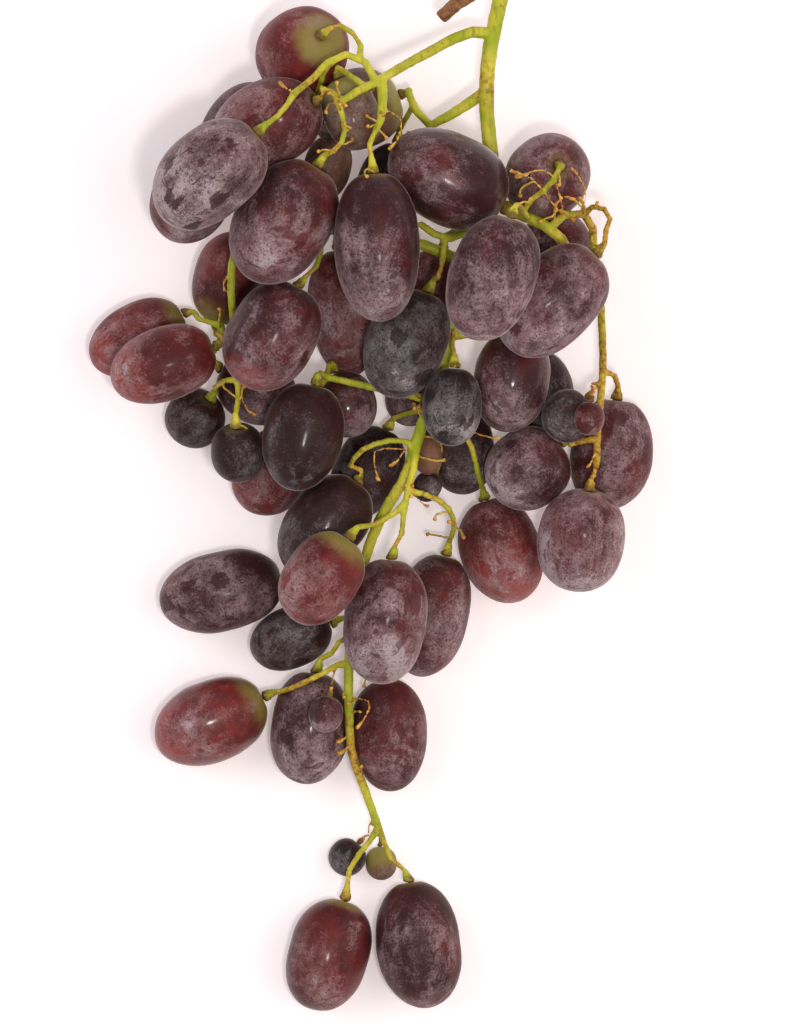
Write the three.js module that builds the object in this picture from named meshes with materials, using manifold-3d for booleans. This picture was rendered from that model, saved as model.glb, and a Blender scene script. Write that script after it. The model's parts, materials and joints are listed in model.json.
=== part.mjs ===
// A bunch of oval red table grapes, picked with its stalk and laid on its side.
// Millimetres, +Z up. It lies on z = 0 with the cut end of the stalk towards +Y and the tip towards -Y.
// The branches are routed by hand. The berries fall onto the table, onto each other and round the branches,
// and each one hangs on a flared stalk of its own, which is bent clear of every berry.
import * as THREE from "three";
import { mergeVertices } from "three/addons/utils/BufferGeometryUtils.js";
import Module from "manifold-3d";

const wasm = await Module();
wasm.setup();

// Driving dimensions
const CLEARANCE = 0.4; // space left between two pieces that touch on the real bunch
const REST_FLAT = 0.6; // how far a berry's underside is pressed flat where it lies on the table
const DIMPLE = 0.9; // depth of the hollow at a berry's stalk end
const DIMPLE_SHARE = 0.3; // rim of that hollow, as a share of the berry's radius
const PEDICEL = { joint: 0.8, waist: 0.56, flare: 1.45, flareLength: 2.6 }; // radii of a berry's stalk
const APPROACH = 2.6; // straight run of a stalk into its berry
const FALL = 0.2; // first drop a step while the berries settle
const PULL = 0.12; // share of the way back to its place that a berry is drawn in a step

// Facets
const BERRY_SIDES = 12;
const SMALL_BERRY_SIDES = 8;
const SMALL_BERRY_WIDTH = 9;
const PROFILE_LEVELS = [-1, -0.85, -0.38, 0.26, 0.77]; // along a berry, -1 at its tip
const SMALL_PROFILE_LEVELS = [-1, -0.72, 0, 0.72];
const BRANCH = { sides: 6, ring: 5 }; // sides round a tube, and millimetres from ring to ring
const STALK = { sides: 5, ring: 3.6 };
const THREAD = { sides: 3, ring: 2.6, radius: 0.36, knob: 0.66 }; // a stalk whose flower set no berry
const FINEST = 0.1; // detail of the stem below this is left out

const SKINS = {
  red: { color: 0x7a3a38, roughness: 0.5 },
  purple: { color: 0x5e3b41, roughness: 0.55 },
  dark: { color: 0x3a2d33, roughness: 0.5 },
  olive: { color: 0x8a7f5c, roughness: 0.5 },
};
const STALK_SKIN = { color: 0xa8b13c, roughness: 0.6 };

// Branches: radius at the start and at the end, and the route as [x, y, z]. One with a parent starts on it.
const BRANCHES = {
  rachis: {
    radius: [1.75, 0.8],
    route: [
      [25, 127, 15], [22.3, 115, 16], [20.3, 104, 17], [20, 92, 17], [21, 80, 17], [18, 68, 20], [14, 56, 21],
      [12, 44, 20], [9, 31, 20], [4.5, 19, 22], [1.5, 9, 22], [-4, 0, 19], [-8, -10, 16], [-11, -24, 14],
      [-11.8, -34, 14], [-11.8, -46, 14], [-11.2, -55, 12.5], [-8.4, -63, 10], [-5, -72.5, 9],
    ],
  },
  cut_arm: {
    parent: "rachis", radius: [1.5, 1.5],
    route: [[24.4, 125, 15], [19, 121, 15.5], [14, 118.4, 16], [9.4, 114.4, 16]],
  },
  left_wing: {
    parent: "rachis", radius: [1.25, 0.75],
    route: [
      [20.8, 110.8, 16], [16, 111, 17.5], [8, 107, 21], [0, 102.4, 27], [-5, 99.3, 31.5], [-10, 96.6, 35],
      [-14, 94, 36],
    ],
  },
  wing_drop: {
    parent: "left_wing", radius: [1.25, 0.8],
    route: [[-4.3, 99.7, 31], [-4, 95, 32], [-4.5, 90, 33.5]],
  },
  wing_arch: {
    parent: "left_wing", radius: [0.8, 0.65],
    route: [
      [-6, 99.9, 32], [-8, 103.6, 33], [-11, 105.2, 34], [-15, 104.4, 35.5], [-18.5, 101.4, 37],
      [-21, 98.4, 38], [-24, 96.3, 38.5],
    ],
  },
  under_wing: {
    parent: "rachis", radius: [1.3, 0.7],
    route: [
      [20, 97.5, 17], [16, 94.8, 16], [10, 91, 15], [7.3, 89.3, 14.5], [4.6, 91.6, 13.5], [2.8, 95, 12],
      [1.8, 97.6, 11],
    ],
  },
  right_fork: {
    parent: "rachis", radius: [1.3, 1.1],
    route: [
      [20, 74, 19], [23.5, 71, 21], [27.5, 68.9, 23], [31, 67.3, 24], [34.8, 65.6, 24], [38.2, 61.6, 23],
      [39.6, 58.6, 22],
    ],
  },
  right_arm: {
    parent: "right_fork", radius: [0.9, 0.7],
    route: [
      [34.6, 66, 24], [36.2, 68.2, 25], [38.6, 68.9, 25.5], [41.4, 69.5, 25], [43.6, 67.4, 23],
      [44.6, 64.2, 20], [44.6, 59, 17], [46, 51, 14.5], [46.6, 42, 16], [46.7, 33, 18], [46, 25, 20.5],
      [45.4, 18, 21], [45.3, 12.5, 20],
    ],
  },
  left_arm: {
    parent: "rachis", radius: [1.2, 0.65],
    route: [
      [14.5, 58, 21], [5, 62, 21.5], [-8, 64, 22], [-20, 66, 22], [-32, 67, 23], [-37.6, 61.5, 23.5],
      [-38.9, 54, 22.5], [-38.5, 46, 20.5], [-38, 38, 20], [-37.3, 31, 21.5],
    ],
  },
  left_twig: {
    parent: "left_arm", radius: [0.75, 0.7],
    route: [[-38.2, 36, 19], [-39.8, 37.8, 17], [-40.7, 40.4, 15], [-41.2, 43.4, 13]],
  },
  middle_twig: {
    parent: "rachis", radius: [0.9, 0.7],
    route: [[16.5, 64, 20.5], [14, 64.4, 24], [10, 63, 27], [7, 65, 27.5], [4.5, 66.6, 27]],
  },
  side_strand: {
    parent: "rachis", radius: [0.8, 0.65],
    route: [[3.8, 17.5, 22], [3.4, 12, 24], [2.1, 6.7, 24.5], [1.2, 2.5, 24.5]],
  },
  low_twig: {
    parent: "rachis", radius: [0.9, 0.65],
    route: [[7, 26, 20.5], [0, 28, 20], [-8, 29.5, 20], [-17, 31.5, 19.5]],
  },
  inner_twig: {
    parent: "rachis", radius: [0.9, 0.65],
    route: [[11.5, 41, 20], [17, 41.5, 19.5], [24, 43, 19], [30, 44, 18.5]],
  },
};

// Threads left where a flower set no berry. Each starts on the nearest branch and ends in a knob.
const THREADS = [
  [[34.4, 75.6, 32], [34.2, 78.4, 34], [31.4, 78.9, 34.5], [28.6, 77.9, 34.5], [26.4, 77.1, 34]],
  [[32.6, 74.6, 30.5], [30, 77, 34.5], [27.6, 78, 35], [25.1, 78.6, 34.5]],
  [[34.6, 67, 25], [36, 71.6, 30], [38, 72.9, 31], [40, 72.2, 30]],
  [[41.4, 69.6, 25], [42.6, 73.4, 29], [41.2, 77, 32], [39.2, 79.2, 34]],
  [[45.4, 15, 21], [44, 12, 22], [43, 10.6, 22.5]],
  [[-24, 96.3, 38.5], [-26.6, 97.6, 39.5], [-27.6, 98.6, 40]],
  [[-14, 94, 36], [-16.4, 93.6, 37], [-17, 91.6, 38]],
  [[-13, 94.6, 36], [-14.6, 96.6, 38], [-16.6, 96, 39]],
  [[-3, 93, 33], [0.2, 90.4, 34], [-0.4, 86, 35], [-2.6, 83.4, 36]],
  [[7, 89.4, 14.5], [4.6, 88, 16], [1.6, 87.8, 17]],
  [[-38.9, 55.4, 22.6], [-40.6, 53, 23.5], [-40.2, 51.2, 23]],
  [[-37.2, 29, 22], [-35.4, 24.2, 20], [-33, 22.6, 19]],
  [[-3.6, 16.6, 25.4], [-5.6, 14.6, 25], [-5.9, 11.4, 23.5], [-4.9, 7.6, 22.5]],
  [[0.4, 17, 24], [0.7, 14.3, 25], [-0.6, 12.2, 25], [-2.4, 11, 25]],
  [[11, 22, 20], [15.6, 19.6, 22], [19, 18, 23], [23, 17.4, 23]],
  [[2.4, 6, 24], [4.4, 3, 22], [6.4, 1.6, 20]],
  [[-11.4, -42.5, 14], [-7.4, -43, 17], [-7.2, -45.4, 19.5], [-10, -49.4, 20]],
  [[-11.8, -46, 14], [-9.6, -45.4, 17], [-9.2, -45.6, 18.6]],
  [[-11.6, -51, 13.5], [-13.6, -52.2, 16], [-14.6, -52.6, 16.4]],
  [[-11.4, -53, 13], [-13.6, -54.6, 14], [-15, -55, 14.4]],
  [[-9.8, -60, 11], [-8.2, -58.4, 12], [-7.6, -57.6, 12.4]],
  [[4.6, 66.6, 27], [1.6, 66.6, 28], [-0.4, 66, 28]],
  [[13.6, 64.4, 24], [16, 66.8, 26], [18.4, 66.6, 26.5]],
];

// Berries. Each has its place in plan and the height that it settles from, its length and width, the heading
// of its stalk end in degrees from +X, how far that end is lifted, the branch that its stalk grows on, and the
// points that a stalk in sight passes. A thin stalk is scaled down. A berry marked under is hidden by others
// and free to shift, and one marked held hangs from its stalk and does not fall.
const BERRIES = {
  tip_1: {
    at: [-16.6, -101.9, 9], size: [26.5, 18.4], heading: 73, skin: "red", on: "rachis",
    via: [[-8, -77, 9.6], [-11, -80.6, 10.2], [-12.3, -85, 9.6]],
  },
  tip_2: {
    at: [4.3, -99.6, 9.5], size: [29.8, 19.2], heading: 98, skin: "purple", on: "rachis",
    via: [[-3.2, -77, 9], [-1, -81.5, 9]],
  },
  tip_3: {
    at: [-11.6, -79.7, 4], size: [8.3, 8.1], heading: 50, skin: "dark", on: "rachis", thin: 0.5,
    via: [[-6.8, -70.5, 8.5], [-7.4, -74.5, 6.5]],
  },
  tip_4: {
    at: [-5.1, -80.8, 3.5], size: [7.7, 7], heading: 92, skin: "olive", on: "rachis", thin: 0.5,
    via: [[-6.4, -70, 8.5], [-5.6, -74, 6.5]],
  },
  low_1: {
    at: [-43.7, -48, 9], size: [27, 18.6], heading: 25, skin: "red", on: "rachis",
    via: [[-13.5, -34.3, 14.5], [-17, -36.3, 17.5], [-22, -38.8, 17.5], [-27, -41, 14]],
  },
  low_2: {
    at: [-21.2, -48.4, 9], size: [25.8, 18], heading: 83, skin: "purple", on: "rachis",
    via: [[-13, -28, 14], [-15.4, -31.8, 12]],
  },
  low_3: {
    at: [-3, -51.4, 9], size: [26.2, 17.4], heading: 93, skin: "purple", on: "rachis",
    via: [[-8, -35, 12]],
  },
  low_4: {
    at: [-41.3, -18.1, 9], size: [29, 18.4], heading: 11, skin: "purple", on: "rachis",
    via: [[-14, -15, 10], [-20, -14.6, 9]],
  },
  low_5: { at: [-24.6, -29.7, 7], size: [19.5, 14], heading: 22, skin: "dark", on: "rachis" },
  low_6: {
    at: [8.3, -22.8, 9], size: [28.6, 17.2], heading: 76, skin: "purple", on: "side_strand",
    via: [[5.4, 4.6, 23.5], [9.2, 3, 22.5], [11.8, 0.3, 20], [12.5, -2.6, 17]],
  },
  low_7: {
    at: [-17.6, -2, 12], size: [26, 17.6], heading: 53, skin: "dark", on: "rachis",
    via: [[-0.6, 17, 24.5], [-4, 16.5, 25.5], [-7.4, 15.5, 25.5], [-10, 13.5, 24], [-11.4, 10.8, 20]],
  },
  right_1: {
    at: [22.3, -7.7, 10], size: [24.6, 18.3], heading: 108, skin: "red", on: "rachis",
    via: [[12.5, 21, 19], [16, 16.5, 20], [17.8, 9.5, 16]],
  },
  right_2: {
    at: [48.6, 13.4, 10], size: [25.6, 18.8], heading: 84, skin: "purple", on: "right_arm",
    via: [[48.6, 33, 18], [50, 30.4, 14.5]],
  },
  right_3: {
    at: [41.6, -5.7, 14], size: [24, 20], heading: 80, lift: 8, skin: "purple", on: "right_arm",
    via: [[45.3, 10, 17]],
  },
  middle_1: { at: [14, 13, 9], size: [21, 16], heading: 100, skin: "dark", on: "rachis", under: true },
  middle_2: { at: [-9, 12.5, 8], size: [22, 15.5], heading: 65, skin: "dark", on: "rachis" },
  right_4: { at: [33, 27, 8], size: [22, 14], heading: 100, skin: "dark", on: "inner_twig" },
  left_1: { at: [-29.6, 9.8, 8], size: [20.5, 17], heading: 60, skin: "red", on: "low_twig" },
  left_2: {
    at: [-60.6, 40.8, 8], size: [23.6, 15.6], heading: 28, skin: "red", on: "left_twig",
    via: [[-43.2, 44.2, 11.5], [-46, 45, 10.5]],
  },
  left_3: {
    at: [-54.4, 34.4, 21], size: [24.6, 17], heading: 20, skin: "red", on: "left_twig",
    via: [[-42, 41.6, 18]],
  },
  left_4: { at: [-39.2, 55, 10], size: [21.4, 16], heading: 258, skin: "red", on: "left_twig" },
  left_5: { at: [-36, 68, 8], size: [21, 15.5], heading: 75, skin: "purple", on: "left_arm", under: true },
  left_6: {
    at: [-34, 28.6, 11], size: [18.6, 16], heading: 150, skin: "purple", on: "left_twig", under: true,
  },
  left_7: {
    at: [-47.4, 22.2, 9], size: [13.8, 13.2], heading: 52, lift: 35, skin: "dark", on: "left_arm",
    via: [[-40, 30.9, 23], [-42.4, 29.3, 21]],
  },
  left_8: {
    at: [-37.2, 14, 14], size: [13.8, 12.4], heading: 94, lift: 30, skin: "dark", on: "left_arm",
    via: [[-37.2, 27, 22]],
  },
  middle_3: { at: [-13.4, 44.2, 13], size: [29.5, 16.8], heading: 97, skin: "red", on: "left_arm" },
  middle_4: { at: [1, 23, 11], size: [15, 12], heading: 75, skin: "purple", on: "rachis", under: true },
  middle_5: { at: [8, 51.5, 12], size: [20, 15], heading: 80, skin: "red", on: "rachis", under: true },
  right_6: { at: [36.5, 60, 9], size: [21, 16.5], heading: 100, skin: "purple", on: "right_fork" },
  shoulder_1: { at: [-46.9, 74.6, 12], size: [24, 18], heading: 62, skin: "purple", on: "left_arm" },
  shoulder_2: { at: [-35.4, 90.4, 10], size: [22, 17], heading: 48, skin: "purple", on: "wing_arch" },
  shoulder_3: {
    at: [-22, 99, 13], size: [24.5, 20.4], heading: 38, lift: 62, skin: "red", on: "wing_arch",
    via: [[-8.9, 106.4, 32], [-9.9, 109.6, 31], [-12, 110.9, 30], [-14.6, 112.4, 29]],
  },
  shoulder_4: { at: [-11.4, 95, 10], size: [21, 18.4], heading: 20, skin: "olive", on: "under_wing" },
  shoulder_5: { at: [-11.8, 92.2, 27], size: [17, 12.8], heading: 110, skin: "olive", on: "left_wing" },
  shoulder_6: { at: [-16.8, 79.8, 25], size: [15, 10.6], heading: 75, skin: "olive", on: "left_wing" },
  shoulder_10: {
    at: [-8.6, 81, 9], size: [22, 15], heading: 80, skin: "dark", on: "under_wing", under: true,
  },
  middle_6: { at: [-9.8, 27, 18], size: [15.5, 13.4], heading: 110, skin: "purple", on: "low_twig" },
  middle_7: {
    at: [6.3, 6.4, 9], size: [7, 6.6], heading: 60, skin: "dark", on: "rachis", thin: 0.5, held: true,
    via: [[11, 15, 12]],
  },
  middle_8: {
    at: [6.2, 13.4, 16], size: [8.6, 6.6], heading: 100, skin: "olive", on: "rachis", thin: 0.5, held: true,
  },
  right_7: { at: [26, 34.6, 20], size: [23.5, 17.6], heading: 80, skin: "purple", on: "inner_twig" },
  right_8: {
    at: [37.4, 22.8, 16], size: [12, 11.4], heading: 45, skin: "dark", on: "right_arm", thin: 0.7, held: true,
    via: [[43.6, 30, 19]],
  },
  right_9: {
    at: [43.2, 22, 21], size: [7.4, 6.6], heading: 82, skin: "red", on: "right_arm", thin: 0.5, held: true,
    via: [[44.8, 29, 20]],
  },
  right_10: {
    at: [29, 9.7, 22], size: [19.4, 18.4], heading: 38, skin: "purple", on: "right_arm",
    via: [[42, 17.4, 21], [38.6, 16.8, 20]],
  },
  right_11: {
    at: [33.8, 77.6, 20], size: [24, 19.2], heading: 40, lift: 72, skin: "purple", on: "right_fork",
    via: [[28.4, 69.4, 25], [31, 73.2, 29], [34.2, 75.2, 32]],
  },
  left_9: { at: [-21.8, 16.8, 22], size: [25, 17.8], heading: 77, skin: "dark", on: "low_twig" },
  middle_9: {
    at: [10.8, 25.6, 33], size: [18, 13.2], heading: 86, skin: "dark", on: "rachis",
    via: [[12.4, 41.5, 24], [11.8, 37.5, 26]],
  },
  left_10: {
    at: [-29.5, 40.8, 32], size: [26, 20], heading: 62, skin: "purple", on: "left_arm",
    via: [[-18.6, 58.6, 26], [-20.4, 55, 27]],
  },
  shoulder_7: {
    at: [-28.8, 94, 35], size: [27, 19.4], heading: 25, lift: 25, skin: "red", on: "left_wing",
    via: [[-15.4, 96.4, 36], [-17.4, 97.6, 36], [-19.2, 97, 35]],
  },
  upper_1: {
    at: [10.9, 77, 28], size: [29, 21.2], heading: 331, skin: "purple", on: "right_fork",
    via: [[27, 69.8, 23]],
  },
  upper_2: {
    at: [34, 48.4, 31], size: [29.6, 20], heading: 46, skin: "purple", on: "right_arm",
    via: [[43.6, 70.4, 26], [46.4, 70.3, 28], [48.1, 67.9, 30], [47.2, 65.2, 32]],
  },
  middle_10: {
    at: [2.6, 37.8, 31], size: [25.4, 17.9], heading: 68, skin: "dark", on: "middle_twig",
    via: [[9.9, 60, 29], [9.2, 55, 31]],
  },
  shoulder_8: {
    at: [-43.3, 77.3, 38], size: [28.9, 20.4], heading: 41, skin: "purple", on: "wing_arch",
    via: [[-26, 93.2, 40], [-28.2, 90.6, 41]],
  },
  shoulder_9: {
    at: [-26.2, 66.8, 38], size: [30, 21.8], heading: 59, skin: "purple", on: "left_wing",
    via: [[-13.4, 91.6, 36.5], [-12.6, 87.6, 38], [-14, 83.8, 39]],
  },
  middle_11: {
    at: [-6, 61.4, 38], size: [34, 19.4], heading: 93, skin: "purple", on: "wing_drop",
    via: [[-6, 87, 35], [-7.2, 83, 37.5]],
  },
  upper_3: { at: [21.2, 53.6, 46], size: [29, 19.6], heading: 72, skin: "purple", on: "right_fork" },
  low_8: {
    at: [-18.1, -14.8, 24], size: [22.4, 17.2], heading: 56, skin: "red", on: "side_strand",
    via: [[-2.4, -0.6, 24.5], [-5.9, -2.4, 25]],
  },
  low_9: {
    at: [-3.4, -24.5, 26], size: [28.6, 18.8], heading: 84, skin: "purple", on: "side_strand",
    via: [[0.6, -1.8, 24.5], [0, -6.4, 24.5]],
  },
  low_10: {
    at: [-17.1, -46, 22], size: [8.2, 7.6], heading: 78, skin: "purple", on: "rachis", thin: 0.5, held: true,
    via: [[-14.6, -35, 15], [-15.6, -38.6, 19]],
  },
};

const vector = (p) => new THREE.Vector3(...p);

// Radius of a berry at a level along it, -1 at its tip and 1 at its stalk end, as a share of its full radius
function plumpness(level) {
  const power = level > 0 ? 2.5 : 2.2;
  return Math.sqrt(Math.max(0, 1 - Math.abs(level) ** power));
}

// The balls that fill a berry, used to tell how near two berries are
function ballsOf(length, width) {
  const half = length / 2;
  const reach = Math.max(0, half - (width / 2) ** 2 / half);
  const count = reach < 0.5 ? 1 : 7;
  return Array.from({ length: count }, (_, i) => {
    const along = count === 1 ? 0 : reach * ((2 * i) / (count - 1) - 1);
    let radius = Infinity;
    for (let level = -1; level <= 1; level += 0.02)
      radius = Math.min(radius, Math.hypot(half * level - along, (width / 2) * plumpness(level)));
    return { along, radius };
  });
}

function berryOf(name, row) {
  const [length, width] = row.size;
  const heading = THREE.MathUtils.degToRad(row.heading);
  const lift = THREE.MathUtils.degToRad(row.lift ?? 0);
  const axis = new THREE.Vector3(
    Math.cos(heading) * Math.cos(lift), Math.sin(heading) * Math.cos(lift), Math.sin(lift),
  );
  const plan = vector(row.at);
  const balls = ballsOf(length, width);
  const stalkRoom = { along: length / 2 + 1.2, radius: PEDICEL.flare * (row.thin ?? 1) };
  const body = [...balls, stalkRoom];
  return { name, ...row, length, width, axis, plan, centre: plan.clone(), balls, body };
}

const ballCentre = (berry, ball) => berry.centre.clone().addScaledVector(berry.axis, ball.along);

// How far p has to move to be clear of a berry, as a vector, or null where it is clear already
function pushFrom(berry, p, radius, balls = berry.balls) {
  const reach = berry.length / 2 + radius + 2 * CLEARANCE + PEDICEL.flareLength;
  if (p.distanceTo(berry.centre) > reach) return null;
  let deepest = 0;
  let push = null;
  for (const ball of balls) {
    const away = p.clone().sub(ballCentre(berry, ball));
    const depth = ball.radius + radius + CLEARANCE - away.length();
    if (depth > deepest) {
      deepest = depth;
      push = away.normalize().multiplyScalar(depth);
    }
  }
  return push;
}

// Pushes two berries apart where they are too near, and returns how deep they were in each other
function partBerries(a, b) {
  let deepest = 0;
  let push = null;
  for (const ball of a.body) {
    const from = pushFrom(b, ballCentre(a, ball), ball.radius, b.body);
    if (from && from.length() > deepest) {
      deepest = from.length();
      push = from;
    }
  }
  if (push) {
    a.centre.addScaledVector(push, 0.5);
    b.centre.addScaledVector(push, -0.5);
  }
  return deepest;
}

// Keeps a berry clear of the table and of the branches
function holdBerry(berry, beads) {
  for (const bead of beads) {
    const push = pushFrom(berry, bead.at, bead.radius);
    if (push) berry.centre.sub(push);
  }
  for (const ball of berry.balls) {
    const sunk = ball.radius - REST_FLAT - ballCentre(berry, ball).z;
    if (sunk > 0) berry.centre.z += sunk;
  }
}

// Lets the berries sink together, drawn back to their places in plan, until none is in another
function settle(berries, beads) {
  const FALLING = 300;
  const STILL = 400;
  for (let step = 0; step < FALLING + STILL; step++) {
    const falling = step < FALLING;
    for (const berry of berries) {
      if (falling && !berry.held) berry.centre.z -= FALL * (1 - step / FALLING);
      const back = berry.plan.clone().sub(berry.centre).setZ(0);
      const pull = berry.under ? PULL / 8 : PULL;
      berry.centre.addScaledVector(back, falling ? pull : pull / 50);
    }
    let worst = 0;
    for (let i = 0; i < berries.length; i++)
      for (let j = 0; j < i; j++) worst = Math.max(worst, partBerries(berries[i], berries[j]));
    for (const berry of berries) holdBerry(berry, beads);
    if (!falling && worst < 0.02) break;
  }
}

const curveThrough = (points) => new THREE.CatmullRomCurve3(points, false, "centripetal");

// Points a step apart along a smooth curve through the given ones
function resample(points, step) {
  const curve = curveThrough(points);
  return curve.getSpacedPoints(Math.max(2, Math.round(curve.getLength() / step)));
}

// Bends a route clear of the berries and of the table. Its first point and the held ones at its end stay, its
// own berry only bars its waist, and each move is spread along it, so that it keeps its drawn shape.
function bendClear(points, radiusAt, berries, own, held = 1, rounds = 160) {
  const drawn = points.map((p) => p.clone());
  const last = points.length - 1 - held;
  for (let round = 0; round < rounds; round++) {
    const spread = round < rounds - 20;
    const moved = points.map((p, i) => p.clone().sub(drawn[i]));
    for (let i = 1; i <= last; i++) {
      const p = points[i];
      if (spread) {
        const beside = moved[i - 1].clone().add(moved[i + 1] ?? moved[i]).multiplyScalar(0.5);
        p.copy(drawn[i]).addScaledVector(moved[i].lerp(beside, 0.5), 0.98);
      }
      const radius = radiusAt(i / (points.length - 1));
      for (const berry of berries) {
        const push = pushFrom(berry, p, berry === own ? Math.min(radius, PEDICEL.waist) : radius);
        if (push) p.add(push);
      }
      p.z = Math.max(p.z, radius + CLEARANCE);
    }
  }
  return points;
}

const taper = ([start, end]) => (t) => start + (end - start) * t;

// The centres of the rings that a line's tube has
function spineOf({ points, ring }) {
  const curve = curveThrough(points);
  return curve.getSpacedPoints(Math.max(4, Math.round(curve.getLength() / ring)));
}

// The point of the spines that is nearest to a target
function nearestOn(spines, target) {
  let best = null;
  for (const spine of spines)
    for (let i = 1; i < spine.length; i++) {
      const piece = new THREE.Line3(spine[i - 1], spine[i]);
      const p = piece.closestPointToPoint(target, true, new THREE.Vector3());
      if (!best || p.distanceTo(target) < best.distanceTo(target)) best = p;
    }
  return best;
}

const BRANCH_STEP = 2.5;
function drawBranches() {
  const branches = {};
  for (const [name, { route, parent, radius }] of Object.entries(BRANCHES)) {
    const points = resample(route.map(vector), BRANCH_STEP);
    branches[name] = { parent, points, radiusAt: taper(radius), ...BRANCH };
  }
  return branches;
}

function beadsOf(branches) {
  return Object.values(branches).flatMap(({ points, radiusAt }) =>
    points.map((at, i) => ({ at, radius: radiusAt(i / (points.length - 1)) })),
  );
}

function bendBranches(branches, berries) {
  for (const branch of Object.values(branches)) {
    const parent = branches[branch.parent];
    if (parent) branch.points[0] = nearestOn([spineOf(parent)], branch.points[0]);
    bendClear(branch.points, branch.radiusAt, berries);
  }
}

// Where a berry's stalk ends: in the hollow, with its rim just clear of the slope
function stalkEnd(berry) {
  const rim = (berry.width / 2) * DIMPLE_SHARE;
  const flare = PEDICEL.flare * (berry.thin ?? 1);
  const sunk = DIMPLE * (1 - flare / rim) - CLEARANCE;
  return berry.centre.clone().addScaledVector(berry.axis, berry.length / 2 - sunk);
}

const STALK_STEP = 1.4;
function drawStalk(berry, branches, berries) {
  const end = stalkEnd(berry);
  const approach = end.clone().addScaledVector(berry.axis, APPROACH);
  const via = (berry.via ?? []).map(vector);
  const towards = via[0] ?? approach.clone().addScaledVector(berry.axis, APPROACH);
  const start = nearestOn([spineOf(branches[berry.on])], towards);
  const points = resample([start, ...via, approach, end], STALK_STEP);
  const scale = berry.thin ?? 1;
  const length = STALK_STEP * (points.length - 1);
  const radiusAt = (t) => {
    const flare = Math.max(0, 1 - ((1 - t) * length) / PEDICEL.flareLength) ** 1.5;
    const root = Math.max(0, 1 - (t * length) / 2.5);
    const { waist, joint } = PEDICEL;
    return scale * (waist + (joint - waist) * root + (PEDICEL.flare - waist) * flare);
  };
  return { points: bendClear(points, radiusAt, berries, berry, 2), radiusAt, ...STALK };
}

// A thread from the nearest branch to a knob, bent clear of the berries
function drawThread(drawn, branches, berries) {
  const [first, ...rest] = drawn.map(vector);
  const start = nearestOn(Object.values(branches).map(spineOf), first);
  const points = resample([start, ...rest], STALK_STEP);
  const length = STALK_STEP * (points.length - 1);
  const radiusAt = (t) => ((1 - t) * length < 1.1 ? THREAD.knob : THREAD.radius);
  return { points: bendClear(points, () => THREAD.knob, berries, null, 0), radiusAt, ...THREAD };
}

// A closed tube of varying radius along a line: a cylinder with a ring for each point of its spine, bent onto
// that line
function tube(line) {
  const curve = curveThrough(line.points);
  const steps = spineOf(line).length - 1;
  const { normals, binormals } = curve.computeFrenetFrames(steps, false);
  const geometry = new THREE.CylinderGeometry(1, 1, steps, line.sides, steps);
  const position = geometry.attributes.position;
  for (let i = 0; i < position.count; i++) {
    const step = Math.round(position.getY(i) + steps / 2);
    const t = step / steps;
    const p = curve.getPointAt(t);
    p.addScaledVector(normals[step], position.getX(i) * line.radiusAt(t));
    p.addScaledVector(binormals[step], -position.getZ(i) * line.radiusAt(t));
    position.setXYZ(i, p.x, p.y, p.z);
  }
  return geometry;
}

function solidOf(geometry) {
  const bare = geometry.index ? geometry.toNonIndexed() : geometry.clone();
  bare.deleteAttribute("normal");
  bare.deleteAttribute("uv");
  const merged = mergeVertices(bare, 1e-4);
  return new wasm.Manifold(
    new wasm.Mesh({
      numProp: 3,
      vertProperties: merged.attributes.position.array,
      triVerts: new Uint32Array(merged.index.array),
    }),
  );
}

function geometryOf(solid) {
  const mesh = solid.getMesh();
  const geometry = new THREE.BufferGeometry();
  geometry.setAttribute("position", new THREE.BufferAttribute(new Float32Array(mesh.vertProperties), 3));
  geometry.setIndex(new THREE.BufferAttribute(new Uint32Array(mesh.triVerts), 1));
  geometry.computeVertexNormals();
  return geometry;
}

// One berry, turned about its own axis so that a row of its corners is at the bottom
function berryMesh(berry) {
  const small = berry.width < SMALL_BERRY_WIDTH;
  const levels = small ? SMALL_PROFILE_LEVELS : PROFILE_LEVELS;
  const half = berry.length / 2;
  const full = berry.width / 2;
  const profile = levels.map((level) => new THREE.Vector2(full * plumpness(level), half * level));
  profile.push(new THREE.Vector2(full * DIMPLE_SHARE, half), new THREE.Vector2(0, half - DIMPLE));
  const geometry = new THREE.LatheGeometry(profile, small ? SMALL_BERRY_SIDES : BERRY_SIDES);
  const skin = new THREE.MeshStandardMaterial({ ...SKINS[berry.skin], metalness: 0 });
  const mesh = new THREE.Mesh(geometry, skin);
  mesh.name = "berry_" + berry.name;
  const side = new THREE.Vector3(0, 0, 1).cross(berry.axis);
  if (side.lengthSq() < 1e-6) side.set(1, 0, 0);
  const down = side.normalize().clone().cross(berry.axis);
  if (down.z > 0) down.negate();
  const turn = new THREE.Matrix4().makeBasis(berry.axis.clone().cross(down), berry.axis, down);
  mesh.quaternion.setFromRotationMatrix(turn);
  mesh.position.copy(berry.centre);
  mesh.updateMatrixWorld(true);
  return mesh;
}

// The table, as a block to press a berry's underside flat
const TABLE_BLOCK = new THREE.BoxGeometry(400, 400, 20).translate(0, 0, -10);

function pressFlat(mesh) {
  const world = mesh.geometry.clone().applyMatrix4(mesh.matrixWorld);
  const cut = geometryOf(solidOf(world).subtract(solidOf(TABLE_BLOCK)));
  mesh.geometry = cut.applyMatrix4(mesh.matrixWorld.clone().invert());
}

function stemMesh(lines) {
  const solid = wasm.Manifold.union(lines.map((line) => solidOf(tube(line)))).simplify(FINEST);
  const skin = new THREE.MeshStandardMaterial({ ...STALK_SKIN, metalness: 0 });
  const mesh = new THREE.Mesh(geometryOf(solid), skin);
  mesh.name = "stem";
  return mesh;
}

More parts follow.
